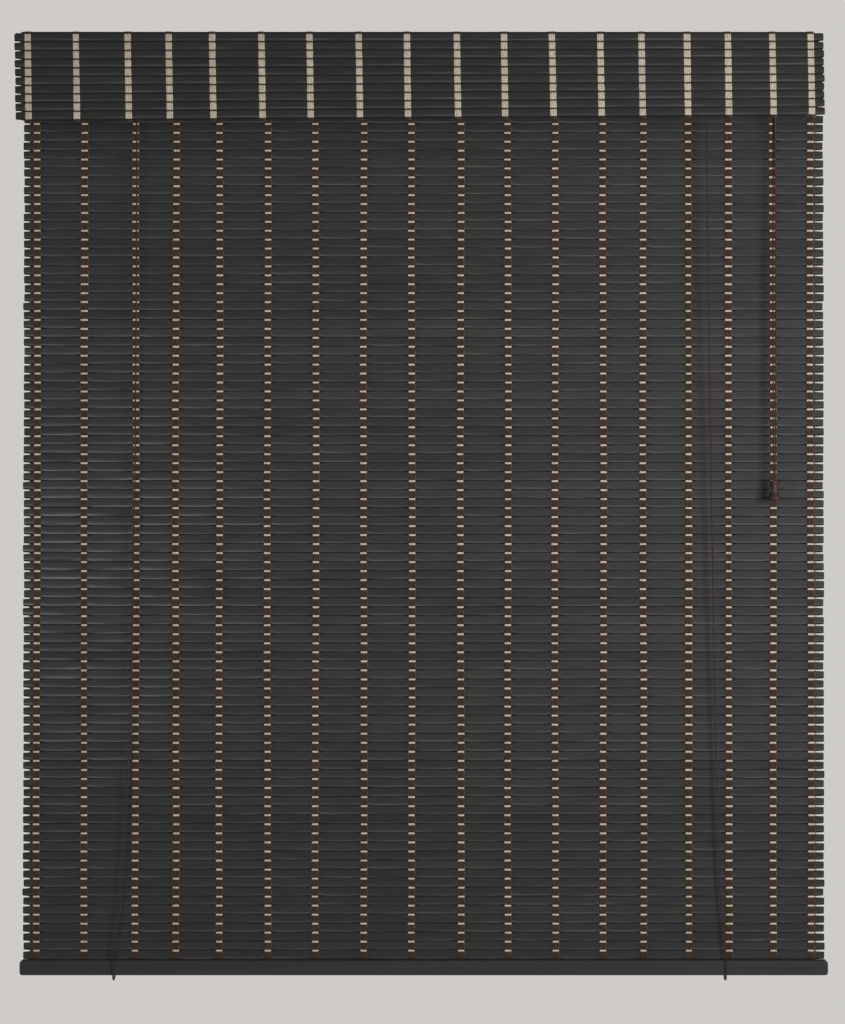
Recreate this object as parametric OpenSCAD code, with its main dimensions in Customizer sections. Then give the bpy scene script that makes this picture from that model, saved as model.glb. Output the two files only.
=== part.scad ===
// Roll-up blind of flat black bamboo slats, woven with brown and cream warps.
// The mat hangs behind a wooden head rail, turns over its top and comes down in front as a valance.
// Two cords sling the bottom rail. They run over pulleys under the head rail, through a cord lock,
// and down to one pull with a turned wooden bell.
// Origin: middle of the two mounting screws, on the top face of the head rail.
// X runs along the blind, Y towards the wall, Z up.

/* [Slats] */
// Length of every slat, across the window
slat_length = 900; // [700:1:1400]
// Height of one slat
slat_width = 9.4; // [8:0.1:11]
// Thickness of one slat
slat_thickness = 1.8; // [1.4:0.1:2.4]
// Chamfer along the long edges of a slat
slat_chamfer = 0.3; // [0.2:0.05:0.5]
// How far the sloping edges of a slat rise from its back to its front
slat_slope = 1.6; // [0.4:0.1:1.6]
// Open gap between two slats of the mat
slat_gap = 0.7; // [0.4:0.05:1.2]
// Slats that hang free between the head rail and the bottom rail
hanging_count = 100; // [60:1:119]
// Slats held against the back of the head rail
rear_count = 2; // [1:1:2]
// Drop from the top of the head rail to the first slat behind it
rear_drop = 3.95; // [3:0.05:6]

/* [Valance] */
// Slats in the turned-over valance
valance_count = 10; // [6:1:14]
// Open gap between two valance slats
valance_gap = 0.3; // [0.2:0.05:0.8]
// Drop from the top of the head rail to the first valance slat
valance_drop = 1.2; // [1:0.1:3]

/* [Warps] */
// Width of one warp of yarns
warp_width = 7.4; // [5:0.1:10]
// Thickness of one warp
warp_thickness = 0.55; // [0.4:0.05:0.8]
// Distance from the slat ends to the middle of the outer warps
warp_inset = 15; // [10:1:30]
// Width of the window where the rear warp shows between two slats
window_width = 6.2; // [4:0.1:7]
// Height of that window
window_height = 2; // [1.4:0.1:3]
// Outer corner radius where the warps turn over the head rail
turn_radius = 4; // [3:0.1:6]

/* [Head rail] */
// Depth of the head rail, front to back
rail_depth = 28; // [26:0.5:40]
// Height of the head rail
rail_height = 22; // [20:0.5:30]
// How far the head rail stops short of each slat end
rail_inset = 10; // [0:0.5:14]
// Diameter of the two mounting screw holes
screw_hole_d = 4.5; // [3.5:0.1:5]
// Distance between the two mounting screw holes
screw_spacing = 500; // [300:1:560]
// Bare strip on top of the head rail, between the two flat slats
bare_strip = 5.5; // [5:0.1:8]

/* [Bottom rail] */
// Height of the two battens of the bottom rail
batten_height = 16; // [12:0.5:24]
// Thickness of each batten
batten_thickness = 5; // [4:0.1:8]
// How far the battens reach past each slat end
batten_overhang = 3; // [0:0.5:8]
// Corner radius of the batten ends
batten_corner = 3; // [1:0.5:5]
// Nails that close the bottom rail
nail_count = 6; // [3:1:10]
// Nail shank diameter
nail_d = 1.8; // [1.4:0.1:2.4]

/* [Pulleys and cord lock] */
// Outer diameter of the sheaves
sheave_d = 14; // [13:0.1:16]
// Diameter at the bottom of the grooves
groove_d = 9.8; // [8.5:0.1:10.4]
// Distance between two grooves side by side
groove_pitch = 4; // [3.6:0.1:5]
// Axle diameter
axle_d = 3; // [2:0.1:4]
// Sheet thickness of the brackets
sheet_t = 1.2; // [0.8:0.1:1.6]
// Left slat end to the axle of the left pulley
left_pulley_inset = 136; // [100:1:160]
// Right slat end to the axle of the right pulley
right_pulley_inset = 128; // [110:1:160]
// Right slat end to the axle of the cord lock
lock_inset = 65.5; // [50:0.5:80]
// Middle plane of the left cord, behind the front of the rail
cord_plane_inset = 9; // [8:0.5:12]

/* [Cords and bell] */
// Diameter of the cords
cord_d = 1.8; // [1.4:0.1:2.2]
// How far the left cord's sling sits outside its pulley's axle
left_sling_shift = 34; // [10:1:50]
// How far the right cord's sling sits outside its pulley's axle
right_sling_shift = 16.5; // [5:0.5:40]
// How far the slings hang below the bottom rail
sling_drop = 6; // [4.5:0.5:12]
// Drop from the top of the head rail to the bell
pull_drop = 496; // [300:1:900]
// Height of the turned bell
bell_height = 22; // [18:0.5:30]
// Diameter of the bell's knob
bell_knob_d = 9; // [7.5:0.1:11]
// Diameter of the bell's waist
bell_waist_d = 7.6; // [6.8:0.1:9]
// Diameter of the bell's foot
bell_foot_d = 14; // [12:0.1:18]
// Diameter of the cord hole in the bell
bell_hole_d = 4.8; // [4.4:0.1:5.2]

/* [Clearances] */
// Gap between pieces that lie on each other
seat_gap = 0.05; // [0.02:0.01:0.1]
// Radial clearance of a sheave or pawl on its axle
running_gap = 0.05; // [0.02:0.01:0.1]
// Side clearance of a sheave between its bracket's ears
side_gap = 0.3; // [0.2:0.05:0.5]
// Clearance of a cord in its groove
cord_gap = 0.4; // [0.3:0.05:0.6]

/* [Hidden] */
$fn = 48;
EPS = 0.5;

// Stain and yarn colours
BLACK_WOOD = [0.045, 0.045, 0.047];
BROWN_YARN = [0.16, 0.085, 0.05];
CREAM_YARN = [0.78, 0.72, 0.6];
STEEL = [0.62, 0.62, 0.64];
BRASS = [0.72, 0.58, 0.32];
CORD_BROWN = [0.17, 0.09, 0.075];
BELL_WOOD = [0.2, 0.11, 0.1];

// Spaces between neighbouring warps, as woven, in parts of the whole width
WARP_SPACES = [53, 58, 45, 49, 54, 54, 54, 54, 55, 53, 53, 54, 45, 51, 45, 50, 42];

function sum_to(list, n) = n <= 0 ? 0 : list[n - 1] + sum_to(list, n - 1);

warp_count = len(WARP_SPACES) + 1;
warp_span = slat_length - 2 * warp_inset;
warp_x = [for (i = [0 : warp_count - 1])
    warp_span * (sum_to(WARP_SPACES, i) / sum_to(WARP_SPACES, warp_count - 1) - 0.5)];

// Mat: the layers outwards from the head rail are brown warp, slat, cream warp
slat_pitch = slat_width + slat_gap;
valance_pitch = slat_width + valance_gap;
inner_warp_off = seat_gap;
slat_off = inner_warp_off + warp_thickness + seat_gap;
outer_warp_off = slat_off + slat_thickness + seat_gap;
mat_off = outer_warp_off + warp_thickness;
core_thickness = 0.6;
inner_turn_r = turn_radius - outer_warp_off + inner_warp_off;
rail_edge_r = inner_turn_r - warp_thickness + 4 * seat_gap;
rail_front = -rail_depth / 2;
rail_back = rail_depth / 2;
mat_y = rail_back + slat_off + slat_thickness / 2;
valance_y = rail_front - slat_off - slat_thickness / 2;
flat_slat_y = (bare_strip + slat_width + slat_slope) / 2;
flat_slat_z = slat_off + slat_thickness / 2;

function mat_slat_top(k) = -rear_drop - k * slat_pitch;
function valance_slat_top(k) = -valance_drop - k * valance_pitch;

hang_top = mat_slat_top(rear_count) + slat_gap / 2;
bottom_rail_top = mat_slat_top(rear_count + hanging_count);
bottom_rail_base = bottom_rail_top - batten_height;
valance_base = valance_slat_top(valance_count) + valance_gap;

// Bottom rail: the battens stand off the mat's two faces
batten_length = slat_length + 2 * batten_overhang;
front_batten_y = rail_back - seat_gap;
back_batten_y = rail_back + mat_off + seat_gap;
nail_z = bottom_rail_top - slat_width / 2;
nail_step = batten_length / nail_count;
nail_head_d = 2.4 * nail_d;
nail_head_t = 0.8;
nail_bite = 0.7 * batten_thickness;

// Pulleys: the sheaves hang just under the bracket plates
cord_r = cord_d / 2;
wrap_r = groove_d / 2 + cord_r + cord_gap;
sheave_drop = 0.8;
axle_z = -rail_height - sheet_t - sheave_drop - sheave_d / 2;
left_cord_y = rail_front + cord_plane_inset;
right_cord_y = left_cord_y - groove_pitch;
pair_y = (left_cord_y + right_cord_y) / 2;
left_pulley_x = -slat_length / 2 + left_pulley_inset;
right_pulley_x = slat_length / 2 - right_pulley_inset;
lock_x = slat_length / 2 - lock_inset;
pull_x = lock_x + wrap_r;
ear_r = sheave_d / 2 - 1;
axle_head_t = 0.8;
axle_head_d = axle_d + 2;
screw_d = 2.6;
screw_head_d = 5;
screw_head_t = 1.8;
screw_length = 14;
anchor_bite = 7;
flange_depth = 9;
flange_screw_x = 5.5;

// Cord lock: the pawl hangs beside the cords and closes towards them
pawl_x = pull_x + cord_r + 6.4;
pawl_z = axle_z - 2;
pawl_boss_r = axle_d / 2 + 1.8;
pawl_reach = pawl_x - pull_x - cord_r - 0.5;
pawl_drop = 8;
tooth_count = 4;
tooth_depth = 0.6;

// Cord ends behind the mat
anchor_z = mat_slat_top(rear_count - 1) - slat_width / 2;
loop_r = screw_d / 2 + cord_r + 0.1;
loop_y = rail_back + mat_off + seat_gap + cord_r;
left_anchor_x = left_pulley_x + 2;
right_anchor_x = right_pulley_x - 6;

// Cord routes: the share of the way from one end to the other in x, y and z, chosen to hang as the slack cords do
function hang(from, to, shares) = [for (s = shares) [for (i = [0 : 2]) from[i] + s[i] * (to[i] - from[i])]];
BACK_SHARES = [[0, 0, 0], [0.02, 0.07, 0.0375], [0.12, 0.27, 0.275], [0.37, 0.54, 0.571], [0.78, 0.89, 0.868], [1, 1, 1]];
LEFT_SHARES = [[0, 0, 0], [0.108, 0.014, 0.026], [0.288, 0.035, 0.064], [0.432, 0.07, 0.119], [0.576, 0.14, 0.193],
    [0.719, 0.28, 0.293], [0.881, 0.53, 0.513], [0.971, 0.845, 0.782], [1, 0.993, 0.971], [1, 1, 1]];
RIGHT_SHARES = [[0, 0, 0], [0.097, 0.014, 0.026], [0.242, 0.035, 0.064], [0.375, 0.07, 0.119], [0.46, 0.14, 0.193],
    [0.56, 0.28, 0.293], [0.73, 0.53, 0.513], [0.93, 0.845, 0.782], [1, 0.993, 0.971], [1, 1, 1]];
PULL_SHARES = [[0, 0, 0], [0.1, 0.05, 0.06], [0.95, 0.3, 0.249], [1.35, 0.6, 0.564], [1.1, 0.85, 0.815], [1, 1, 1]];

sling_off = 1.45;
sling_front_y = front_batten_y - batten_thickness - sling_off;
sling_back_y = back_batten_y + batten_thickness + sling_off;
left_sling_x = left_pulley_x - left_sling_shift;
right_sling_x = right_pulley_x + right_sling_shift;
join_gap = 0.1;
LEFT_BACK = hang([left_anchor_x, loop_y, anchor_z - loop_r - cord_r - join_gap],
    [left_sling_x, sling_back_y, bottom_rail_top + join_gap], BACK_SHARES);
RIGHT_BACK = hang([right_anchor_x, loop_y, anchor_z - loop_r - cord_r - join_gap],
    [right_sling_x, sling_back_y, bottom_rail_top + join_gap], BACK_SHARES);
LEFT_FRONT = hang([left_sling_x, sling_front_y, bottom_rail_top + join_gap],
    [left_pulley_x - wrap_r, left_cord_y, axle_z - join_gap], LEFT_SHARES);
RIGHT_FRONT = hang([right_sling_x, sling_front_y, bottom_rail_top + join_gap],
    [right_pulley_x - wrap_r, right_cord_y, axle_z - join_gap], RIGHT_SHARES);
bell_x = pull_x + 0.3;
bell_top = -pull_drop;
hollow_drop = 10.5;
knot_drop = hollow_drop + 1.5;
LEFT_PULL = hang([pull_x, left_cord_y, axle_z - join_gap],
    [bell_x - cord_r - join_gap, pair_y, bell_top - knot_drop], PULL_SHARES);
RIGHT_PULL = hang([pull_x, right_cord_y, axle_z - join_gap],
    [bell_x + cord_r + join_gap, pair_y, bell_top - knot_drop], PULL_SHARES);
function sling(x) = let (middle = (sling_front_y + sling_back_y) / 2, half = (sling_back_y - sling_front_y) / 2) concat(
    [[x, sling_back_y, bottom_rail_top - join_gap]],
    [for (a = [0 : 30 : 180]) [x, middle + half * cos(a), bottom_rail_base - sling_drop * sin(a)]],
    [[x, sling_front_y, bottom_rail_top - join_gap]]);
ALONG_X = [1, 0, 0];
ALONG_Y = [0, 1, 0];
CORD_SIDES = 8;

// Shared shapes

module slat_section() {
    half = slat_thickness / 2;
    c = slat_chamfer;
    top = slat_width / 2;
    rise = slat_slope / 2;
    cut = c * slat_slope / slat_thickness;
    polygon([[c - half, rise - cut - top], [half - c, cut - rise - top], [half, c - rise - top],
        [half, top - c - rise], [half - c, top - rise + cut], [c - half, top + rise - cut],
        [-half, top + rise - c], [-half, rise + c - top]]);
}

// One slat along X, with its middle at y, z. It stands upright, or lies flat at a tilt of 90 degrees.
module slat(y, z, tilt = 0) {
    translate([-slat_length / 2, y, z]) rotate([tilt, 0, 0]) rotate([90, 0, 90])
        linear_extrude(slat_length) slat_section();
}

function window_points(z) = [[-window_width / 2, z - window_height / 2], [window_width / 2, z - window_height / 2],
    [window_width / 2, z + window_height / 2], [-window_width / 2, z + window_height / 2]];

// Flat ribbon in front of the slats, with a window at each height in the list
module windowed_ribbon(z_top, z_base, heights) {
    edge = [[-warp_width / 2, z_base], [warp_width / 2, z_base], [warp_width / 2, z_top], [-warp_width / 2, z_top]];
    rotate([90, 0, 0]) linear_extrude(warp_thickness)
        polygon(concat(edge, [for (z = heights) each window_points(z)]),
            [for (i = [0 : len(heights)]) [for (j = [0 : 3]) 4 * i + j]]);
}

// Outline with two round top corners: half depth, top, corner, rear and front ends
module arch(half, top, corner, rear_z, front_z) {
    translate([-half, front_z]) square([half, top - corner - front_z]);
    translate([0, rear_z]) square([half, top - corner - rear_z]);
    translate([corner - half, top - corner - EPS]) square([2 * (half - corner), corner + EPS]);
    for (side = [-1, 1]) translate([side * (half - corner), top - corner]) circle(corner);
}

// Strap over the head rail, its inner face a given distance off the wood
module turned_strap(off, corner, front_z) {
    half = rail_depth / 2 + off;
    outer = half + warp_thickness;
    translate([-warp_width / 2, 0, 0]) rotate([90, 0, 90]) linear_extrude(warp_width) difference() {
        arch(outer, off + warp_thickness, corner, hang_top, front_z);
        arch(half, off, corner - warp_thickness, hang_top - EPS, front_z - EPS);
    }
}

module along_y(x, y, z) {
    translate([x, y, z]) rotate([-90, 0, 0]) children();
}

// Upright screw with its head below, driven up from z
module driven_screw(x, y, z) {
    translate([x, y, z]) cylinder(d = screw_d, h = screw_length);
    translate([x, y, z - screw_head_t]) cylinder(d = screw_head_d, h = screw_head_t + seat_gap / 2);
}

function bracket_screw_places(x0, x1) = [for (x = [x0 + flange_screw_x, x1 - flange_screw_x])
    [x, rail_front + cord_plane_inset + groove_pitch / 2 + side_gap + sheet_t + flange_depth / 2]];

// Cord swept along its route: one ring of eight corners at each point
function unit(v) = v / norm(v);
function heading(route, i) = unit(route[min(i + 1, len(route) - 1)] - route[max(i - 1, 0)]);
function ring(middle, along, side) = let (u = unit(side - along * (side * along)), v = cross(along, u))
    [for (k = [0 : CORD_SIDES - 1]) let (a = 360 * k / CORD_SIDES) middle + cord_r * (cos(a) * u + sin(a) * v)];

module cord(route, side) {
    n = CORD_SIDES;
    last = (len(route) - 1) * n;
    color(CORD_BROWN) polyhedron(
        [for (i = [0 : len(route) - 1]) each ring(route[i], heading(route, i), side)],
        concat(
            [[for (k = [0 : n - 1]) k]],
            [[for (k = [n - 1 : -1 : 0]) last + k]],
            [for (i = [0 : len(route) - 2], k = [0 : n - 1]) let (a = i * n + k, b = i * n + (k + 1) % n) [a, a + n, b]],
            [for (i = [0 : len(route) - 2], k = [0 : n - 1])
                let (a = i * n + k, b = i * n + (k + 1) % n) [b, a + n, b + n]]));
}

// Quarter turn over a sheave at x, from the first angle to the second
function quarter(x, y, first, second) = [for (i = [0 : 4])
    let (a = first + (second - first) * i / 4) [x + wrap_r * cos(a), y, axle_z + wrap_r * sin(a)]];

// Mat and valance

// Core of the two outer warps, which runs through the middle of the slats and joins them into one panel
module warp_cores(y, z_top, z_base) {
    for (x = [warp_x[0], warp_x[warp_count - 1]])
        translate([x - window_width / 2, y - core_thickness / 2, z_base])
            cube([window_width, core_thickness, z_top - z_base]);
}

module mat_slats() {
    last = rear_count + hanging_count - 1;
    color(BLACK_WOOD) {
        for (k = [rear_count : last]) slat(mat_y, mat_slat_top(k) - slat_width / 2);
        warp_cores(mat_y, mat_slat_top(rear_count) - slat_width / 2, mat_slat_top(last) - slat_width / 2);
    }
}

tack_d = 1.6;
tack_head_d = 6;
tack_head_t = 0.6;
tack_length = 10;
tack_places = [for (i = [0 : 4 : warp_count - 2], side = [-1, 1])
    [(warp_x[i] + warp_x[i + 1]) / 2, side * flat_slat_y]];

module tack_holes() {
    for (p = tack_places) translate([p[0], p[1], outer_warp_off - tack_length - seat_gap])
        cylinder(d = tack_d + 2 * seat_gap, h = tack_length + EPS);
}

module anchor_holes(from_y, to_y) {
    for (x = [left_anchor_x, right_anchor_x]) along_y(x, from_y, anchor_z)
        cylinder(d = screw_d + 2 * seat_gap, h = to_y - from_y);
}

module wrap_slats() {
    color(BLACK_WOOD) difference() {
        union() {
            for (k = [0 : rear_count - 1]) slat(mat_y, mat_slat_top(k) - slat_width / 2);
            for (side = [-1, 1]) slat(side * flat_slat_y, flat_slat_z, 90);
        }
        tack_holes();
        anchor_holes(rail_back, rail_back + mat_off);
    }
}

module valance_slats() {
    last = valance_count - 1;
    color(BLACK_WOOD) {
        for (k = [0 : last]) slat(valance_y, valance_slat_top(k) - slat_width / 2);
        warp_cores(valance_y, valance_slat_top(0) - slat_width / 2, valance_slat_top(last) - slat_width / 2);
    }
}

module mat_brown_warps() {
    color(BROWN_YARN) for (x = warp_x) translate([x, rail_back + inner_warp_off + warp_thickness, 0])
        windowed_ribbon(hang_top - seat_gap, bottom_rail_top + seat_gap, []);
}

module mat_cream_warps() {
    color(CREAM_YARN) for (x = warp_x)
        translate([x - warp_width / 2, rail_back + outer_warp_off, bottom_rail_top + seat_gap])
            cube([warp_width, warp_thickness, hang_top - bottom_rail_top - 2 * seat_gap]);
}

module valance_brown_warps() {
    color(BROWN_YARN) for (x = warp_x) translate([x, 0, 0])
        turned_strap(inner_warp_off, inner_turn_r, valance_base);
}

module valance_cream_warps() {
    gaps = [for (k = [1 : valance_count - 1]) valance_slat_top(k) + valance_gap / 2];
    color(CREAM_YARN) for (x = warp_x) translate([x, 0, 0]) difference() {
        turned_strap(outer_warp_off, turn_radius, valance_base);
        for (z = gaps) translate([-window_width / 2, rail_front - mat_off - EPS, z - window_height / 2])
            cube([window_width, warp_thickness + 2 * EPS, window_height]);
    }
}

module mat_tacks() {
    color(STEEL) for (p = tack_places) translate([p[0], p[1], 0]) {
        translate([0, 0, outer_warp_off - tack_length]) cylinder(d = tack_d, h = tack_length);
        translate([0, 0, outer_warp_off]) cylinder(d = tack_head_d, h = tack_head_t);
    }
}

// Head rail

module head_rail() {
    length = slat_length - 2 * rail_inset;
    color(BLACK_WOOD) difference() {
        translate([-length / 2, 0, 0]) rotate([90, 0, 90]) linear_extrude(length)
            arch(rail_depth / 2, 0, rail_edge_r, -rail_height, -rail_height);
        for (side = [-1, 1]) translate([side * screw_spacing / 2, 0, -rail_height - EPS])
            cylinder(d = screw_hole_d, h = rail_height + 2 * EPS);
        tack_holes();
        anchor_holes(rail_back - anchor_bite, rail_back + EPS);
        for (p = all_bracket_screws) translate([p[0], p[1], -rail_height - EPS])
            cylinder(d = screw_d + 2 * seat_gap, h = screw_length + EPS);
    }
}

// Bottom rail

// Batten with rounded ends, from y to y + its thickness
module batten(y) {
    inner = batten_length / 2 - batten_corner;
    translate([0, y, 0]) rotate([90, 0, 0]) mirror([0, 0, 1]) linear_extrude(batten_thickness) {
        translate([-inner, bottom_rail_base]) square([2 * inner, batten_height]);
        translate([-batten_length / 2, bottom_rail_base + batten_corner])
            square([batten_length, batten_height - 2 * batten_corner]);
        for (x = [-inner, inner], z = [bottom_rail_base + batten_corner, bottom_rail_top - batten_corner])
            translate([x, z]) circle(batten_corner);
    }
}

nail_x = [for (i = [0 : nail_count - 1]) (i + 0.5) * nail_step - batten_length / 2];
nail_from = front_batten_y - nail_bite;
nail_to = back_batten_y + batten_thickness;

module nail_holes() {
    for (x = nail_x) along_y(x, nail_from - seat_gap, nail_z)
        cylinder(d = nail_d + 2 * seat_gap, h = nail_to - nail_from + EPS);
}

module bottom_batten_front() {
    color(BLACK_WOOD) difference() {
        batten(front_batten_y - batten_thickness);
        nail_holes();
    }
}

module bottom_batten_back() {
    color(BLACK_WOOD) difference() {
        batten(back_batten_y);
        nail_holes();
    }
}

module hem_slat() {
    color(BLACK_WOOD) difference() {
        slat(mat_y, nail_z);
        nail_holes();
    }
}

module bottom_rail_nails() {
    color(STEEL) for (x = nail_x) {
        along_y(x, nail_from, nail_z) cylinder(d = nail_d, h = nail_to - nail_from + nail_head_t);
        along_y(x, nail_to + seat_gap, nail_z) cylinder(d = nail_head_d, h = nail_head_t);
    }
}

// Pulleys and cord lock

// Sheave with its grooves centred on y = 0, turned about Y
module sheave(grooves) {
    half = grooves * groove_pitch / 2;
    r = sheave_d / 2;
    bore = axle_d / 2 + running_gap;
    low = cord_r;
    high = groove_pitch / 2 - 0.5;
    rotate([-90, 0, 0]) rotate_extrude() polygon(concat(
        [[bore, -half]],
        [for (g = [0 : grooves - 1]) let (m = -half + groove_pitch * (g + 0.5))
            each [[r, m - groove_pitch / 2 + (g > 0 ? 0.001 : 0)], [r, m - high], [groove_d / 2, m - low],
                [groove_d / 2, m + low], [r, m + high]]],
        [[r, half], [bore, half]]));
}

function ear_front(grooves) = left_cord_y - (grooves - 0.5) * groove_pitch - side_gap;
ear_back = left_cord_y + groove_pitch / 2 + side_gap;

// Two ears of one outline, given as children in the XZ plane, either side of the sheave
module ears(grooves) {
    for (y = [ear_front(grooves), ear_back + sheet_t])
        translate([0, y, 0]) rotate([90, 0, 0]) linear_extrude(sheet_t) children();
}

// Plate under the rail, with a screw flange behind the rear ear
module bracket_plate(x0, x1, grooves) {
    y0 = ear_front(grooves) - sheet_t;
    y1 = ear_back + sheet_t + flange_depth;
    difference() {
        translate([x0, y0, -rail_height - sheet_t]) cube([x1 - x0, y1 - y0, sheet_t - seat_gap]);
        for (p = bracket_screw_places(x0, x1)) translate([p[0], p[1], -rail_height - sheet_t - EPS])
            cylinder(d = screw_d + 2 * seat_gap, h = sheet_t + 2 * EPS);
    }
}

// Bracket of a single pulley on its own axle
module pulley_bracket(x, grooves) {
    difference() {
        union() {
            bracket_plate(x - bracket_half, x + bracket_half, grooves);
            ears(grooves) {
                translate([x - ear_r, axle_z]) square([2 * ear_r, -rail_height - sheet_t / 2 - axle_z]);
                translate([x, axle_z]) circle(ear_r);
            }
        }
        along_y(x, ear_front(grooves) - sheet_t - EPS, axle_z)
            cylinder(d = axle_d + 2 * seat_gap, h = ear_back - ear_front(grooves) + 2 * sheet_t + 2 * EPS);
    }
}

// Axle through both ears, with a head outside each
module axle(x, z, grooves) {
    y0 = ear_front(grooves) - sheet_t - seat_gap;
    y1 = ear_back + sheet_t + seat_gap;
    along_y(x, y0 - axle_head_t, z) cylinder(d = axle_d, h = y1 - y0 + 2 * axle_head_t);
    for (y = [y0 - axle_head_t, y1]) along_y(x, y, z) cylinder(d = axle_head_d, h = axle_head_t);
}

bracket_half = 9;
lock_plate_x0 = lock_x - bracket_half;
lock_plate_x1 = pawl_x + bracket_half;
all_bracket_screws = concat(
    bracket_screw_places(left_pulley_x - bracket_half, left_pulley_x + bracket_half),
    bracket_screw_places(right_pulley_x - bracket_half, right_pulley_x + bracket_half),
    bracket_screw_places(lock_plate_x0, lock_plate_x1));

module left_pulley_bracket() { color(STEEL) pulley_bracket(left_pulley_x, 1); }
module left_pulley_sheave() { color(BRASS) translate([left_pulley_x, left_cord_y, axle_z]) sheave(1); }
module left_pulley_axle() { color(STEEL) axle(left_pulley_x, axle_z, 1); }

module right_pulley_bracket() { color(STEEL) pulley_bracket(right_pulley_x, 2); }
module right_pulley_sheave() { color(BRASS) translate([right_pulley_x, pair_y, axle_z]) sheave(2); }
module right_pulley_axle() { color(STEEL) axle(right_pulley_x, axle_z, 2); }

module cord_lock_housing() {
    depth = ear_back - ear_front(2) + 2 * sheet_t + 2 * EPS;
    color(STEEL) difference() {
        union() {
            bracket_plate(lock_plate_x0, lock_plate_x1, 2);
            ears(2) {
                translate([lock_x - ear_r, axle_z])
                    square([pawl_x - lock_x + 2 * ear_r, -rail_height - sheet_t / 2 - axle_z]);
                translate([lock_x, axle_z]) circle(ear_r);
                translate([lock_x, axle_z - ear_r]) square([pawl_x - lock_x, ear_r]);
                translate([pawl_x, axle_z]) circle(ear_r);
            }
        }
        for (p = [[lock_x, axle_z], [pawl_x, pawl_z]]) along_y(p[0], ear_front(2) - sheet_t - EPS, p[1])
            cylinder(d = axle_d + 2 * seat_gap, h = depth);
    }
}

module cord_lock_sheave() { color(BRASS) translate([lock_x, pair_y, axle_z]) sheave(2); }
module cord_lock_axle() { color(STEEL) axle(lock_x, axle_z, 2); }
module cord_lock_pawl_pin() { color(STEEL) axle(pawl_x, pawl_z, 2); }

// Toothed pawl: a boss on the pin, a nose that hangs beside the cords and a weighted tail
module cord_lock_pawl() {
    width = 2 * groove_pitch;
    step = (pawl_drop - pawl_boss_r) / tooth_count;
    color(BRASS) translate([pawl_x, pair_y + width / 2, pawl_z]) rotate([90, 0, 0]) linear_extrude(width) difference() {
        union() {
            circle(pawl_boss_r);
            polygon(concat(
                [[0, pawl_boss_r]],
                [for (i = [0 : tooth_count - 1]) let (z = -pawl_boss_r / 2 - i * step)
                    each [[-pawl_reach, z], [tooth_depth - pawl_reach, z - step]]],
                [[-pawl_boss_r / 2, -pawl_drop], [pawl_boss_r, -pawl_boss_r], [2.2 * pawl_boss_r, -pawl_boss_r],
                    [2.2 * pawl_boss_r, 0], [pawl_boss_r / 2, pawl_boss_r]]));
        }
        circle(d = axle_d + 2 * running_gap);
    }
}

module bracket_screws() {
    color(STEEL) for (p = all_bracket_screws) driven_screw(p[0], p[1], -rail_height - sheet_t - seat_gap);
}

// Cords

module cord_anchor_screws() {
    head_y = loop_y + cord_r + seat_gap;
    color(STEEL) for (x = [left_anchor_x, right_anchor_x]) {
        along_y(x, rail_back - anchor_bite + seat_gap, anchor_z)
            cylinder(d = screw_d, h = head_y - rail_back + anchor_bite);
        along_y(x, head_y, anchor_z) cylinder(d = screw_head_d + 2, h = screw_head_t);
    }
}

// End of a cord, tied round its screw
module cord_loop(x) {
    color(CORD_BROWN) along_y(x, loop_y, anchor_z) rotate_extrude() translate([loop_r, 0]) circle(cord_r);
}

module left_cord_loop() { cord_loop(left_anchor_x); }
module right_cord_loop() { cord_loop(right_anchor_x); }

module left_cord_back() { cord(LEFT_BACK, ALONG_X); }
module left_cord_bight() { cord(sling(left_sling_x), ALONG_X); }
module left_cord_front() { cord(LEFT_FRONT, ALONG_X); }
module left_cord_head() {
    cord(concat(quarter(left_pulley_x, left_cord_y, 180, 90), quarter(lock_x, left_cord_y, 90, 0)), ALONG_Y);
}
module left_pull_cord() { cord(LEFT_PULL, ALONG_X); }

module right_cord_back() { cord(RIGHT_BACK, ALONG_X); }
module right_cord_bight() { cord(sling(right_sling_x), ALONG_X); }
module right_cord_front() { cord(RIGHT_FRONT, ALONG_X); }
module right_cord_head() {
    cord(concat(quarter(right_pulley_x, right_cord_y, 180, 90), quarter(lock_x, right_cord_y, 90, 0)), ALONG_Y);
}
module right_pull_cord() { cord(RIGHT_PULL, ALONG_X); }

// Bell on the pull: knob, waist and flared foot, hollow below for the knot
hollow_d = bell_foot_d - 3.4;

module pull_bell() {
    knob = bell_knob_d / 2;
    waist = bell_waist_d / 2;
    foot = bell_foot_d / 2;
    hole = bell_hole_d / 2;
    flare = 6;
    color(BELL_WOOD) translate([bell_x, pair_y, bell_top]) rotate_extrude() polygon(concat(
        [[hole, 0], [knob - 1, 0], [knob, -1], [knob, -3.2], [waist, -5]],
        [for (i = [1 : flare]) let (s = i / flare)
            [waist + (foot - waist) * (1 - cos(90 * s)), -5 - (bell_height - 7) * s]],
        [[foot, -bell_height + 0.8], [foot - 0.8, -bell_height], [hollow_d / 2, -bell_height], [hole, -hollow_drop]]));
}

module pull_knot() {
    r = 3.4;
    color(CORD_BROWN) translate([bell_x, pair_y, bell_top - hollow_drop - 2 - r]) sphere(r);
}

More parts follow.
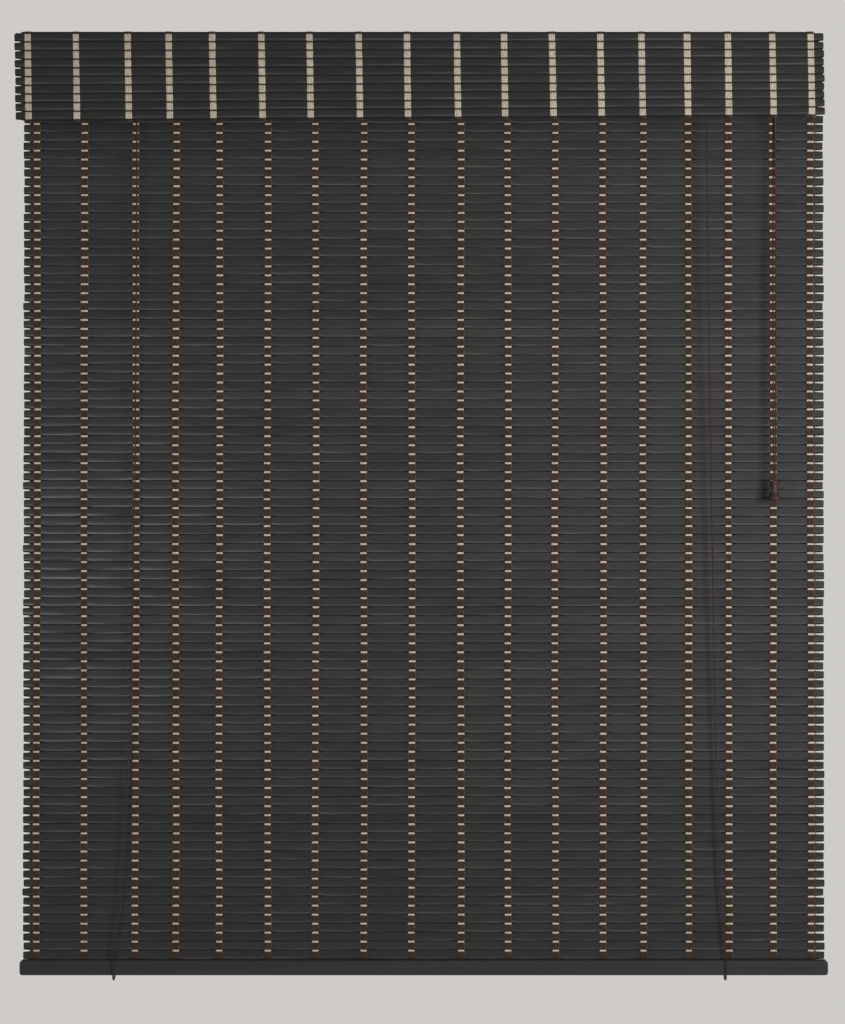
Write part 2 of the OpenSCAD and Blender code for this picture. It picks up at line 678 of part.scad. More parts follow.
head_rail();
mat_slats();
wrap_slats();
valance_slats();
mat_brown_warps();
mat_cream_warps();
valance_brown_warps();
valance_cream_warps();
mat_tacks();
bottom_batten_front();
bottom_batten_back();
hem_slat();
bottom_rail_nails();
left_pulley_bracket();
left_pulley_sheave();
left_pulley_axle();
right_pulley_bracket();
right_pulley_sheave();
right_pulley_axle();
cord_lock_housing();
cord_lock_sheave();
cord_lock_axle();
cord_lock_pawl();
cord_lock_pawl_pin();
bracket_screws();
cord_anchor_screws();
left_cord_loop();
right_cord_loop();
left_cord_back();
left_cord_bight();
left_cord_front();
left_cord_head();
left_pull_cord();
right_cord_back();
right_cord_bight();
right_cord_front();
right_cord_head();
right_pull_cord();
pull_bell();
pull_knot();
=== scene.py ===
"""Roll-up blind of black bamboo slats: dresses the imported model, in its own frame, in metres."""
import math

import bmesh
import bpy
import numpy as np
from mathutils import Matrix, Vector


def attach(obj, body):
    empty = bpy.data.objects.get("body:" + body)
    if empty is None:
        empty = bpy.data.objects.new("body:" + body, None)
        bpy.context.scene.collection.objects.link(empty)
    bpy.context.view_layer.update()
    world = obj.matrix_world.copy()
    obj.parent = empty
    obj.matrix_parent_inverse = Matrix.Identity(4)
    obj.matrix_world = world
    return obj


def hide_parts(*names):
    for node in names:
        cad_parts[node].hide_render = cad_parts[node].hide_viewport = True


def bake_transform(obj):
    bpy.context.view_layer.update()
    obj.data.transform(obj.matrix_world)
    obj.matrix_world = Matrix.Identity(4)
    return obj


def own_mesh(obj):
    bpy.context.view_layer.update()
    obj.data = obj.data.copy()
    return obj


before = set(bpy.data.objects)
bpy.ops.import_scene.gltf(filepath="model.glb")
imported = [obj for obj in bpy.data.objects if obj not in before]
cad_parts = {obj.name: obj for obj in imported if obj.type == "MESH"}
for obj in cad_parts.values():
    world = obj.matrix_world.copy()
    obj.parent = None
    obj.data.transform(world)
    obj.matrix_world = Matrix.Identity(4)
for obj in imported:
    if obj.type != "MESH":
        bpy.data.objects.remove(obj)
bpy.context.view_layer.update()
scene = bpy.context.scene
MM = 0.001

# Sizes of the part in millimetres, and its counts of slats
SLAT_LENGTH, SLAT_WIDTH, SLAT_THICK, SLAT_SLOPE = 900.0, 9.4, 1.8, 1.6
SLAT_PITCH, VALANCE_PITCH = 10.1, 9.7
HANGING, REAR, IN_VALANCE = 100, 2, 10
REAR_TOP, VALANCE_TOP = -3.95, -1.2
MAT_Y, VALANCE_Y = 15.55, -15.55
FLAT_Y, FLAT_Z = 8.25, 1.55
RAIL_TOP, RAIL_BASE, RAIL_LENGTH = -1034.15, -1050.15, 906.0
RAIL_CORNER, RAIL_EDGE = 3.0, 0.7
FRONT_BATTEN, BACK_BATTEN = (8.95, 13.95), (17.15, 22.15)
WARP_WIDTH, STRANDS = 8.2, 4
WARP_SPACES = [53, 58, 45, 49, 54, 54, 54, 54, 55, 53, 53, 54, 45, 51, 45, 50, 42]
WARP_SPAN = 870.0
WARP_X = [WARP_SPAN * (sum(WARP_SPACES[:i]) / sum(WARP_SPACES) - 0.5) for i in range(len(WARP_SPACES) + 1)]
CORD_R = 0.9
VALANCE_LEAN, TURN_SHIFT = 0.016, -5.3
VALANCE_RISE, VALANCE_LOW, FAN_LEFT, FAN_RIGHT = 2.3, 98.0, 0.1, 5.9
WEAVE_RISE, WEAVE_SHARE = 2.2, 0.9
AXLE_Z, WRAP_R = -31.0, 6.2
LEFT_PULLEY_X, RIGHT_PULLEY_X, LOCK_X = -314.0, 322.0, 384.5
LEFT_CORD_Y, RIGHT_CORD_Y, PAIR_Y = -5.0, -9.0, -7.0
LEFT_SLING_X, RIGHT_SLING_X = -348.0, 338.5
LEFT_LOOP_X, RIGHT_LOOP_X, LOOP_Y, LOOP_LOW = -312.0, 316.0, 18.0, -22.05
BELL_X, BELL_TOP, KNOT_Z = 391.0, -496.0, -508.0

chance = np.random.default_rng(11)


# Materials

FULL = (1.0, 1.0, 1.0)


def new_material(name):
    material = bpy.data.materials.new(name)
    material.use_nodes = True
    tree = material.node_tree
    return material, tree, tree.nodes["Principled BSDF"]


def add(tree, kind, **values):
    node = tree.nodes.new(kind)
    for key, value in values.items():
        setattr(node, key, value)
    return node


def stretched_noise(tree, stretch, scale, detail=4.0, where="Object"):
    """Noise that is drawn out along the piece, as grain and fibres are."""
    coords = add(tree, "ShaderNodeTexCoord")
    mapping = add(tree, "ShaderNodeMapping")
    mapping.inputs["Scale"].default_value = stretch
    noise = add(tree, "ShaderNodeTexNoise")
    noise.inputs["Scale"].default_value = scale
    noise.inputs["Detail"].default_value = detail
    tree.links.new(coords.outputs[where], mapping.inputs["Vector"])
    tree.links.new(mapping.outputs["Vector"], noise.inputs["Vector"])
    return noise.outputs["Fac"]


def ramp(tree, value, stops):
    node = add(tree, "ShaderNodeValToRGB")
    while len(node.color_ramp.elements) < len(stops):
        node.color_ramp.elements.new(0.5)
    for element, (place, colour) in zip(node.color_ramp.elements, stops):
        element.position = place
        element.color = (*colour, 1.0)
    tree.links.new(value, node.inputs["Fac"])
    return node.outputs["Color"]


def blend_colours(tree, kind, amount, first, second):
    node = add(tree, "ShaderNodeMix", data_type="RGBA", blend_type=kind)
    if isinstance(amount, float):
        node.inputs["Factor"].default_value = amount
    else:
        tree.links.new(amount, node.inputs["Factor"])
    for socket, value in ((node.inputs[6], first), (node.inputs[7], second)):
        if isinstance(value, tuple):
            socket.default_value = (*value, 1.0)
        else:
            tree.links.new(value, socket)
    return node.outputs[2]


def shaded(tree, base, value, stops):
    """The base colour, made darker by a ramp over the value."""
    return blend_colours(tree, "MULTIPLY", 1.0, base, ramp(tree, value, stops))


def add_bump(tree, shader, height, strength, distance):
    node = add(tree, "ShaderNodeBump")
    node.inputs["Strength"].default_value = strength
    node.inputs["Distance"].default_value = distance
    tree.links.new(height, node.inputs["Height"])
    tree.links.new(node.outputs["Normal"], shader.inputs["Normal"])


def spread(tree, value, low, high):
    node = add(tree, "ShaderNodeMapRange")
    node.inputs["To Min"].default_value = low
    node.inputs["To Max"].default_value = high
    tree.links.new(value, node.inputs["Value"])
    return node.outputs["Result"]


def patch_around(tree, middle, reach):
    """1 at the middle of a patch of the mat, given in x and z, and 0 beyond its reach."""
    coords = add(tree, "ShaderNodeTexCoord")
    mapping = add(tree, "ShaderNodeMapping")
    mapping.inputs["Scale"].default_value = (1 / reach[0], 0.0, 1 / reach[1])
    mapping.inputs["Location"].default_value = (-middle[0] / reach[0], 0.0, -middle[1] / reach[1])
    patch = add(tree, "ShaderNodeTexGradient", gradient_type="SPHERICAL")
    tree.links.new(coords.outputs["Object"], mapping.inputs["Vector"])
    tree.links.new(mapping.outputs["Vector"], patch.inputs["Vector"])
    return patch.outputs["Fac"]


def slat_stain():
    """Black stain on split bamboo: fine grain, each slat its own tone, paler lower edges that are partly wear and
    partly painted highlight, painted glints on those edges at the left middle, and painted shade in the gaps.
    """
    material, tree, shader = new_material("black_slat_stain")
    grain = stretched_noise(tree, (5.0, 140.0, 900.0), 1.0, 6.0)
    patches = stretched_noise(tree, (9.0, 30.0, 60.0), 1.0, 2.0)
    streaks = stretched_noise(tree, (14.0, 1.0, 300.0), 1.0, 2.0)
    tone = add(tree, "ShaderNodeAttribute", attribute_name="tone")
    edge = add(tree, "ShaderNodeAttribute", attribute_name="edge")
    groove = add(tree, "ShaderNodeAttribute", attribute_name="groove")
    base = ramp(tree, tone.outputs["Fac"], [
        (0.0, (0.0172, 0.0170, 0.0171)), (0.5, (0.0232, 0.0229, 0.0228)), (1.0, (0.030, 0.0293, 0.0287))])
    base = shaded(tree, base, grain, [(0.3, (0.74, 0.74, 0.74)), (0.7, FULL)])
    base = shaded(tree, base, patches, [(0.3, (0.8, 0.8, 0.82)), (0.7, FULL)])
    # Painted glints: at the left middle of the mat the lower edges are painted paler and in wider lines, standing
    # in for light caught on the slat edges.
    painted_glint_patch = patch_around(tree, (-0.44, -0.58), (0.34, 0.36))
    # Paler lower front edges in broken streaks: partly wear, partly a painted highlight along the edge.
    wear_and_glint = add(tree, "ShaderNodeMath", operation="MULTIPLY")
    sharp = add(tree, "ShaderNodeMath", operation="POWER")
    tree.links.new(edge.outputs["Fac"], sharp.inputs[0])
    tree.links.new(spread(tree, painted_glint_patch, 12.0, 5.0), sharp.inputs[1])
    tree.links.new(sharp.outputs[0], wear_and_glint.inputs[0])
    tree.links.new(ramp(tree, streaks, [(0.36, (0, 0, 0)), (0.68, FULL)]), wear_and_glint.inputs[1])
    # The edge colour runs from a pale worn grey to a brighter painted glint inside the left patch.
    pale = blend_colours(tree, "MIX", painted_glint_patch, (0.088, 0.087, 0.085), (0.19, 0.187, 0.182))
    base = blend_colours(tree, "MIX", wear_and_glint.outputs[0], base, pale)
    # Painted shade: the sloped edges by the gaps are painted near black, where shade falls between the slats.
    base = blend_colours(tree, "MIX", groove.outputs["Fac"], base, (0.006, 0.006, 0.006))
    tree.links.new(base, shader.inputs["Base Color"])
    tree.links.new(spread(tree, grain, 0.5, 0.68), shader.inputs["Roughness"])
    shader.inputs["Specular IOR Level"].default_value = 0.16
    add_bump(tree, shader, grain, 0.25, 0.0004)
    return material


def rail_stain():
    """The same stain on planed wood."""
    material, tree, shader = new_material("black_rail_stain")
    grain = stretched_noise(tree, (4.0, 90.0, 160.0), 1.0, 6.0)
    base = ramp(tree, grain, [(0.25, (0.014, 0.014, 0.0145)), (0.75, (0.026, 0.0255, 0.025))])
    tree.links.new(base, shader.inputs["Base Color"])
    tree.links.new(spread(tree, grain, 0.62, 0.8), shader.inputs["Roughness"])
    shader.inputs["Specular IOR Level"].default_value = 0.22
    add_bump(tree, shader, grain, 0.3, 0.0004)
    return material


def yarn(name, deep, body, light, tint, rough):
    """Spun yarn laid side by side: twist lines across each strand, fibres that vary along it, and painted shade
    in the valleys between strands.
    """
    material, tree, shader = new_material(name)
    coords = add(tree, "ShaderNodeTexCoord")
    mapping = add(tree, "ShaderNodeMapping")
    mapping.inputs["Scale"].default_value = (STRANDS, 1.0, 1.0)
    tree.links.new(coords.outputs["UV"], mapping.inputs["Vector"])
    twist = add(tree, "ShaderNodeTexWave", wave_type="BANDS", bands_direction="DIAGONAL")
    twist.inputs["Scale"].default_value = 1.3
    twist.inputs["Distortion"].default_value = 2.5
    twist.inputs["Detail"].default_value = 2.0
    tree.links.new(mapping.outputs["Vector"], twist.inputs["Vector"])
    fibres = stretched_noise(tree, (900.0, 900.0, 160.0), 1.0, 4.0)
    base = ramp(tree, fibres, [(0.25, deep), (0.5, body), (0.78, light)])
    lots = stretched_noise(tree, (30.0, 30.0, 22.0), 1.0, 2.0)
    base = shaded(tree, base, lots, [(0.35, tint), (0.6, FULL)])
    base = shaded(tree, base, twist.outputs["Fac"], [(0.0, (0.7, 0.7, 0.7)), (0.6, FULL)])
    # Painted shade: the valleys between the strands are painted darker, where shade falls between them.
    strands = add(tree, "ShaderNodeTexWave", wave_type="BANDS", bands_direction="X")
    strands.inputs["Scale"].default_value = STRANDS * math.pi / 10
    tree.links.new(coords.outputs["UV"], strands.inputs["Vector"])
    base = shaded(tree, base, strands.outputs["Fac"], [(0.0, (0.62, 0.61, 0.56)), (0.45, FULL)])
    tree.links.new(base, shader.inputs["Base Color"])
    shader.inputs["Roughness"].default_value = rough
    shader.inputs["Specular IOR Level"].default_value = 0.2
    shader.inputs["Sheen Weight"].default_value = 0.15
    add_bump(tree, shader, twist.outputs["Fac"], 0.5, 0.0003)
    return material


def braid():
    """Braided cord: two sets of strands that cross, on the cord's own UV map."""
    material, tree, shader = new_material("red_brown_braid")
    coords = add(tree, "ShaderNodeTexCoord")
    heights = []
    for turn in (1.0, -1.0):
        mapping = add(tree, "ShaderNodeMapping")
        mapping.inputs["Scale"].default_value = (turn * 2.0, 1.0, 1.0)
        tree.links.new(coords.outputs["UV"], mapping.inputs["Vector"])
        wave = add(tree, "ShaderNodeTexWave", wave_type="BANDS", bands_direction="DIAGONAL")
        wave.inputs["Scale"].default_value = 0.45
        wave.inputs["Distortion"].default_value = 0.4
        tree.links.new(mapping.outputs["Vector"], wave.inputs["Vector"])
        heights.append(wave.outputs["Fac"])
    height = add(tree, "ShaderNodeMath", operation="MAXIMUM")
    tree.links.new(heights[0], height.inputs[0])
    tree.links.new(heights[1], height.inputs[1])
    base = ramp(tree, height.outputs[0], [
        (0.2, (0.010, 0.0048, 0.004)), (0.7, (0.032, 0.015, 0.0115)), (1.0, (0.052, 0.025, 0.0185))])
    tree.links.new(base, shader.inputs["Base Color"])
    shader.inputs["Roughness"].default_value = 0.7
    shader.inputs["Specular IOR Level"].default_value = 0.2
    add_bump(tree, shader, height.outputs[0], 0.5, 0.0003)
    return material


def turned_wood():
    """Dark red-brown stain on a turned bell, with a thin lacquer."""
    material, tree, shader = new_material("bell_lacquer")
    grain = stretched_noise(tree, (700.0, 700.0, 60.0), 1.0, 5.0)
    base = ramp(tree, grain, [
        (0.25, (0.015, 0.0055, 0.005)), (0.6, (0.031, 0.0125, 0.0115)), (0.85, (0.05, 0.022, 0.020))])
    tree.links.new(base, shader.inputs["Base Color"])
    tree.links.new(spread(tree, grain, 0.42, 0.56), shader.inputs["Roughness"])
    shader.inputs["Specular IOR Level"].default_value = 0.25
    shader.inputs["Coat Weight"].default_value = 0.08
    shader.inputs["Coat Roughness"].default_value = 0.4
    add_bump(tree, shader, grain, 0.15, 0.0002)
    return material


def plated(name, low, high, rough):
    """Stamped or turned metal with fine tool lines and duller patches."""
    material, tree, shader = new_material(name)
    lines = stretched_noise(tree, (120.0, 900.0, 900.0), 1.0, 4.0)
    patches = stretched_noise(tree, (70.0, 70.0, 70.0), 1.0, 3.0)
    tree.links.new(ramp(tree, patches, [(0.3, low), (0.7, high)]), shader.inputs["Base Color"])
    tree.links.new(spread(tree, lines, rough, rough + 0.2), shader.inputs["Roughness"])
    shader.inputs["Metallic"].default_value = 1.0
    add_bump(tree, shader, lines, 0.08, 0.0002)
    return material


SLAT_STAIN = slat_stain()
RAIL_STAIN = rail_stain()
BROWN_YARN = yarn("brown_yarn", deep=(0.018, 0.010, 0.005), body=(0.044, 0.022, 0.012),
                  light=(0.078, 0.038, 0.022), tint=(0.76, 0.92, 0.76), rough=0.85)
# Painted light: the hanging mat's cream is the valance's cream yarn painted lighter, where its ticks catch more
# light.
CREAM_YARN_PAINTED_LIT = yarn("cream_yarn_painted_lit", deep=(0.395, 0.34, 0.272), body=(0.60, 0.525, 0.422),
                 light=(0.755, 0.675, 0.572), tint=(0.92, 0.91, 0.88), rough=0.9)
CREAM_YARN = yarn("cream_yarn", deep=(0.34, 0.293, 0.227), body=(0.52, 0.454, 0.36),
                  light=(0.662, 0.596, 0.50), tint=(0.9, 0.89, 0.86), rough=0.9)
BRAID = braid()
BELL_WOOD = turned_wood()
STEEL = plated("zinc_plate", (0.27, 0.27, 0.28), (0.42, 0.42, 0.425), 0.38)
BRASS = plated("dull_brass", (0.42, 0.3, 0.13), (0.6, 0.45, 0.22), 0.28)


# Mesh helpers

def finish_piece(bm, name, material, smooth=True):
    mesh = bpy.data.meshes.new(name)
    bm.to_mesh(mesh)
    bm.free()
    piece = bpy.data.objects.new(name, mesh)
    scene.collection.objects.link(piece)
    mesh.materials.append(material)
    mesh.polygons.foreach_set("use_smooth", np.full(len(mesh.polygons), smooth))
    return piece


def corners(mesh):
    co = np.empty(len(mesh.vertices) * 3)
    mesh.vertices.foreach_get("co", co)
    return co.reshape(-1, 3)


def place_corners(mesh, co):
    mesh.vertices.foreach_set("co", np.ascontiguousarray(co, dtype=float).ravel())
    mesh.update()


def point_values(mesh, name, values):
    layer = mesh.attributes.new(name, "FLOAT", "POINT")
    layer.data.foreach_set("value", np.ascontiguousarray(values, dtype=float))


def close_shells(bm):
    """Joins the seam of each tube, closes its ends and turns its faces outwards."""
    bmesh.ops.remove_doubles(bm, verts=bm.verts, dist=1e-4)
    bmesh.ops.holes_fill(bm, edges=[e for e in bm.edges if e.is_boundary], sides=0)
    bmesh.ops.recalc_face_normals(bm, faces=bm.faces)


def strip_mesh(columns, rows, place, width, length, skipped=()):
    """A grid of quads bent into shape, with UVs across and along, and without the skipped rows.

    place gives the points for each corner's column and row.
    """
    bm = bmesh.new()
    bm.loops.layers.uv.new("strip")
    bmesh.ops.create_grid(bm, x_segments=columns, y_segments=rows, size=0.5, calc_uvs=True)
    if skipped:
        inside = [f for f in bm.faces if int((f.calc_center_median().y + 0.5) * rows) in skipped]
        bmesh.ops.delete(bm, geom=inside, context="FACES")
    mesh = bpy.data.meshes.new("strip")
    bm.to_mesh(mesh)
    bm.free()
    co = corners(mesh)
    column = np.rint((co[:, 0] + 0.5) * columns).astype(int)
    row = np.rint((co[:, 1] + 0.5) * rows).astype(int)
    place_corners(mesh, place(column, row))
    uv = np.empty(len(mesh.loops) * 2)
    mesh.uv_layers["strip"].data.foreach_get("uv", uv)
    uv = uv.reshape(-1, 2) * (width, length)
    mesh.uv_layers["strip"].data.foreach_set("uv", uv.ravel())
    return mesh


# Slats

EDGE_X = 439.0
TURN_BACK, TURN_DEPTH, VALANCE_FROM = 14.0, 28.0, -13.0
SLAT_CORNERS, BACK_CHAMFER, BOW_LENGTH = 8, 0.3, 190.0
WORN_RIGHT = [(EDGE_X, 1.0), (440.8, 0.86), (449.0, 0.77), (449.6, 0.72)]
WORN_LEFT = [(-442.0, 1.0), (-443.8, 0.86), (-449.2, 0.77), (-450.0, 0.72)]


def turn_skew(co):
    """The mat is turned over askew: it shifts sideways, and the valance leans and rises at its right end."""
    over = np.clip((TURN_BACK - co[:, 1]) / TURN_DEPTH, 0, 1)
    valance = co[:, 1] < VALANCE_FROM
    fan = FAN_LEFT + (FAN_RIGHT - FAN_LEFT) * (co[:, 0] / SLAT_LENGTH + 0.5)
    up = VALANCE_RISE - fan * co[:, 2] / VALANCE_LOW
    aside = TURN_SHIFT * over - np.where(valance, VALANCE_LEAN * co[:, 2], 0)
    return np.column_stack((aside, np.zeros(len(co)), np.where(valance, up, 0)))


def slat_section(pulled, deep, dark):
    """Corners of a slat's section as (y, z, groove, edge): groove weights the painted shade by the gaps, and edge
    the paler lower front edge, partly wear and partly painted highlight.

    The edges slope up to the front, and the front face stops short of them by pulled, at a depth of deep.
    """
    half, rise, back = SLAT_THICK / 2, SLAT_SLOPE / 2, BACK_CHAMFER

    def top(y):
        return SLAT_WIDTH / 2 - rise * y / half

    def low(y):
        return -SLAT_WIDTH / 2 - rise * y / half

    return [(-half, top(-half) - pulled, 0, 0.3), (deep - half, top(deep - half), dark, 0),
            (half - back, top(half - back), 1, 0), (half, top(half) - back, 0, 0),
            (half, low(half) + back, 0, 0), (half - back, low(half - back), 1, 0),
            (deep - half, low(deep - half), dark, 0), (-half, low(-half) + pulled, 0, 1)]


def single_slat(notched):
    """One upright slat along x, its middle at the origin: pinched at each warp and narrowed by wear at its ends.
    """
    if notched:
        # By each warp the edges are pulled back and painted fully dark, as painted shade in the wider gap;
        # between warps the painted shade is fainter.
        plain, pinched = slat_section(0.2, 0.14, 0.2), slat_section(0.95, 0.34, 1)
        steps = [(-12.0, plain), (-4.8, pinched), (4.8, pinched), (12.0, plain)]
        rings = [(x + step, section, 1.0) for x in WARP_X for step, section in steps if abs(x + step) < EDGE_X]
    else:
        # The valance's gaps are painted fully dark, as painted shade between its slats.
        outer = slat_section(1.3, 0.45, 1)
        rings = [(x, outer, 1.0) for x in (-300.0, -100.0, 100.0, 300.0)]
    last = rings[0][1]
    rings = ([(x, last, share) for x, share in reversed(WORN_LEFT)] + rings
             + [(x, last, share) for x, share in WORN_RIGHT])
    bm = bmesh.new()
    # groove holds the weight of the painted shade in the gaps; edge holds that of the paler lower edge.
    groove = bm.verts.layers.float.new("groove")
    edge = bm.verts.layers.float.new("edge")
    ring = bmesh.ops.create_circle(bm, segments=SLAT_CORNERS, radius=1.0)["verts"]
    ring.sort(key=lambda v: math.atan2(v.co.y, v.co.x))
    for i, (x, section, wear_and_glint) in enumerate(rings):
        if i:
            sides = [bm.edges.get((ring[j - 1], ring[j])) for j in range(SLAT_CORNERS)]
            made = bmesh.ops.extrude_edge_only(bm, edges=sides)["geom"]
            fresh = [g for g in made if isinstance(g, bmesh.types.BMVert)]
            ring = [min(fresh, key=lambda v, w=w: (v.co - w.co).length_squared) for w in ring]
        for v, (y, z, dark, pale) in zip(ring, section):
            v.co = (x, y, z * wear_and_glint)
            v[groove], v[edge] = dark, pale
    close_shells(bm)
    return bm


def vary(count, spread, limit):
    """Chance values around 0, one for each slat, and none past the limit."""
    return np.clip(chance.normal(0, spread, count), -limit, limit)


def slat_set(name, places, notched=False, turned=True, shade=0.5):
    """Slats at (y, z, tilt in degrees), each one a little bowed, turned and shaded in its own way."""
    master = bpy.data.meshes.new("slat")
    one = single_slat(notched)
    one.to_mesh(master)
    one.free()
    bm = bmesh.new()
    for y, z, tilt in places:
        first = len(bm.verts)
        bm.from_mesh(master)
        bm.verts.ensure_lookup_table()
        stand = Matrix.Translation((0, y, z)) @ Matrix.Rotation(math.radians(tilt), 4, "X")
        bmesh.ops.transform(bm, verts=bm.verts[first:], matrix=stand)
    count = len(master.vertices)
    piece = finish_piece(bm, name, SLAT_STAIN, smooth=False)
    co = corners(piece.data)
    which = np.repeat(np.arange(len(places)), count)
    phase = chance.uniform(0, 2 * math.pi, len(places))[which]
    bow = vary(len(places), 0.05, 0.09)[which]
    lean = vary(len(places), 0.0001, 0.00018)[which]
    end = vary(len(places), 0.35, 0.8)[which]
    wave = bow * np.sin(co[:, 0] / BOW_LENGTH + phase) + lean * co[:, 0]
    upright = np.repeat([abs(tilt) < 45 for _, _, tilt in places], count)
    co[:, 2] += np.where(upright, wave, 0)
    co[:, 1] += np.where(upright, 0.4 * wave, 0)
    co[:, 0] += end * (np.abs(co[:, 0]) > EDGE_X + 1)
    if turned:
        co += turn_skew(co)
    point_values(piece.data, "tone", np.clip(chance.normal(shade, 0.2, len(places)), 0, 1)[which])
    place_corners(piece.data, co * MM)
    bpy.data.meshes.remove(master)
    return piece


def slat_z(k):
    return REAR_TOP - k * SLAT_PITCH - SLAT_WIDTH / 2


def valance_z(k):
    return VALANCE_TOP - k * VALANCE_PITCH - SLAT_WIDTH / 2


def hanging_z(k):
    """The weave is a little tighter in the upper half of the mat, so its middle sits slightly high."""
    along = (k - REAR + 0.5) / HANGING
    return slat_z(k) + WEAVE_RISE * max(0.0, math.sin(math.pi * along / WEAVE_SHARE))


hanging_places = [(MAT_Y, hanging_z(k), 0) for k in range(REAR, REAR + HANGING)]
wrap_places = [(MAT_Y, slat_z(k), 0) for k in range(REAR)] + [(FLAT_Y, FLAT_Z, 90), (-FLAT_Y, FLAT_Z, 90)]
valance_places = [(VALANCE_Y, valance_z(k), 0) for k in range(IN_VALANCE)]


def shorten_with_lift(piece):
    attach(piece, "head")
    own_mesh(piece)


hanging_slats = slat_set("hanging_slats", hanging_places, notched=True, turned=False)
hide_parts("mat_slats")
shorten_with_lift(hanging_slats)

turned_slats = slat_set("turned_slats", wrap_places)
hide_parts("wrap_slats")
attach(turned_slats, "head")

valance_slats = slat_set("front_valance_slats", valance_places, shade=0.15)
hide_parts("valance_slats")
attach(valance_slats, "head")


# Woven warps

ACROSS = 2 * STRANDS
HALF, HALF_THICK = SLAT_WIDTH / 2, SLAT_THICK / 2
RIDGE, VALLEY, FLANK, SHAKE = 0.12, -0.10, -0.32, 0.07
LONG_WANDER, SHORT_WANDER, UV_STEP, FIRST_SEED = 130.0, 31.0, 0.35, 100


def warp_rings(stations, side, over, under, tail=0.0):
    """Middle line of one warp in the (y, z) plane: over one face of each slat, and a tick on the other at gaps.

    stations are (point, direction down the mat, outward normal).
    side is 1 for the outer face of the mat and -1 for the inner one.
    over holds (share of the half slat, height above its face).
    under holds (distance from the gap, height above the far face).
    The rows where the yarn is inside the mat come back too.
    """
    rings, inside = [], set()
    for i, (point, down, out) in enumerate(stations):
        inside.add(len(rings) - 1)
        for share, rise in over:
            rings.append((point + down * HALF * share + out * side * (HALF_THICK + rise), out * side))
        if i + 1 < len(stations):
            after, down2, out2 = stations[i + 1]
            middle = (point + down * HALF + after - down2 * HALF) / 2
            along = (down + down2).normalized()
            outward = (out + out2).normalized()
            inside.add(len(rings) - 1)
            for shift, rise in under:
                rings.append((middle + along * shift - outward * side * (HALF_THICK + rise), -outward * side))
        elif tail:
            for drop in (0.4, tail):
                rings.append((point + down * (HALF + drop) + out * side * 0.3, out * side))
    return rings, inside


def warp_mesh(rings, inside, width, seed):
    """Strands side by side along the rings: a ridge for each one, rounded sides and one flat face underneath."""
    local = np.random.default_rng(seed)
    points = np.array([[p.x, p.y] for p, _ in rings])
    normals = np.array([[n.x, n.y] for _, n in rings])
    across = np.linspace(-1, 1, ACROSS + 1)
    relief = np.where(np.arange(ACROSS + 1) % 2 == 1, RIDGE, VALLEY)
    relief[0] = relief[-1] = FLANK
    shake = local.normal(0, SHAKE, (len(rings), ACROSS + 1))

    def place(column, row):
        column = column % (ACROSS + 1)
        lift = relief[column] + 0.4 * shake[row, column]
        side = across[column] * width / 2 * (1 + 0.02 * np.sin(row * 0.9)) + shake[row, column]
        return np.column_stack((side, points[row] + normals[row] * lift[:, None]))

    return strip_mesh(ACROSS + 1, len(rings) - 1, place, (ACROSS + 1) / ACROSS, len(rings) * UV_STEP, inside)


def warp_set(name, rings, width, material, drift, turned=False):
    """The same rings at every warp, each with its own loose strands and its own slight wander."""
    bm = bmesh.new()
    for i, x in enumerate(WARP_X):
        mesh = warp_mesh(*rings, width, FIRST_SEED + i)
        first = len(bm.verts)
        bm.from_mesh(mesh)
        bm.verts.ensure_lookup_table()
        bmesh.ops.translate(bm, verts=bm.verts[first:], vec=(x, 0, 0))
        bpy.data.meshes.remove(mesh)
    close_shells(bm)
    piece = finish_piece(bm, name, material)
    co = corners(piece.data)
    turn = np.round(co[:, 0] / 40.0)
    wander = np.sin(co[:, 2] / LONG_WANDER + 2.4 * turn) + 0.3 * np.sin(co[:, 2] / SHORT_WANDER + turn)
    co[:, 0] += drift * wander
    if turned:
        co += turn_skew(co)
    place_corners(piece.data, co * MM)
    return piece


# Slat middles as the weaver meets them, with the direction along the mat and the outward side
BACK, FRONT, UP = Vector((1, 0)), Vector((-1, 0)), Vector((0, 1))
hang_stations = [(Vector((y, z)), -UP, BACK) for y, z, _ in hanging_places]
turned_stations = (
    [(Vector((MAT_Y, slat_z(k))), UP, BACK) for k in reversed(range(REAR))]
    + [(Vector((y, FLAT_Z)), FRONT, UP) for y in (FLAT_Y, -FLAT_Y)]
    + [(Vector((y, z)), -UP, FRONT) for y, z, _ in valance_places])

brown_front = warp_set("brown_warps", warp_rings(
    hang_stations, -1, over=[(-0.86, 0.06), (-0.62, 0.36), (0.62, 0.36), (0.86, 0.06)],
    under=[(-0.35, 0.0), (0.35, 0.0)]),
    WARP_WIDTH, BROWN_YARN, 0.5)
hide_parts("mat_brown_warps")
shorten_with_lift(brown_front)

cream_back = warp_set("cream_warps", warp_rings(
    hang_stations, 1, over=[(-0.9, 0.06), (0.0, 0.4), (0.9, 0.06)],
    under=[(-1.05, 0.06), (0.0, 0.48), (1.05, 0.06)]),
    WARP_WIDTH - 0.6, CREAM_YARN_PAINTED_LIT, 0.5)
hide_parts("mat_cream_warps")
shorten_with_lift(cream_back)

brown_turned = warp_set("brown_turned_warps", warp_rings(
    turned_stations, -1, over=[(-0.9, 0.06), (-0.62, 0.3), (0.62, 0.3), (0.9, 0.06)],
    under=[(-0.6, 0.06), (0.0, 0.16), (0.6, 0.06)], tail=2.2),
    WARP_WIDTH, BROWN_YARN, 0.4, turned=True)
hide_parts("valance_brown_warps")
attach(brown_turned, "head")

cream_turned = warp_set("cream_turned_warps", warp_rings(
    turned_stations, 1, over=[(-0.85, 0.1), (-0.62, 0.38), (0.62, 0.38), (0.85, 0.1)],
    under=[(-0.4, 0.1), (0.0, -0.3), (0.4, 0.1)]),
    WARP_WIDTH - 0.8, CREAM_YARN, 0.4, turned=True)
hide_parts("valance_cream_warps")
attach(cream_turned, "head")


# Bottom rail

